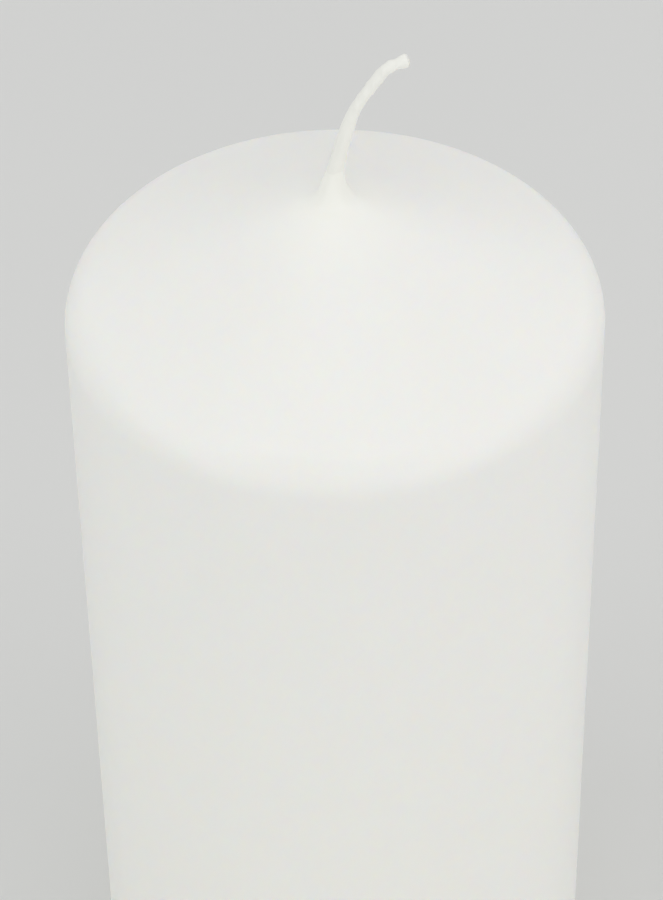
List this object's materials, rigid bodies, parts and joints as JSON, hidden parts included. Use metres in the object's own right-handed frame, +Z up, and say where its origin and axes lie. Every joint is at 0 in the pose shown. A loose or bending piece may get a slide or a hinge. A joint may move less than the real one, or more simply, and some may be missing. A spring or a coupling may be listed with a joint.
{
  "type": "pillar candle",
  "caption": "Free-standing overdipped wax pillar candle with a low conical top, a softly rounded shoulder and a short primed plaited wick that leans over.",
  "frame": {"origin": "centre of the base, on the surface that the candle stands on", "axes": "+Z up the candle's axis, the wick leans towards +X, -Y is the side towards the viewer"},
  "size_m": [0.07, 0.07, 0.1703],
  "materials": {
    "overdip_wax": "satin",
    "core_wax": "matte",
    "primer_wax": "satin",
    "wick_cotton": "matte",
    "sustainer_steel": "satin"
  },
  "bodies": {
    "root": {"wax_core": "core_wax", "overdip_shell": "overdip_wax", "wick_sustainer": "sustainer_steel", "wick_wax_coat": "primer_wax", "wick_strand_1": "wick_cotton", "wick_strand_2": "wick_cotton", "wick_strand_3": "wick_cotton"}
  },
  "joints": []
}
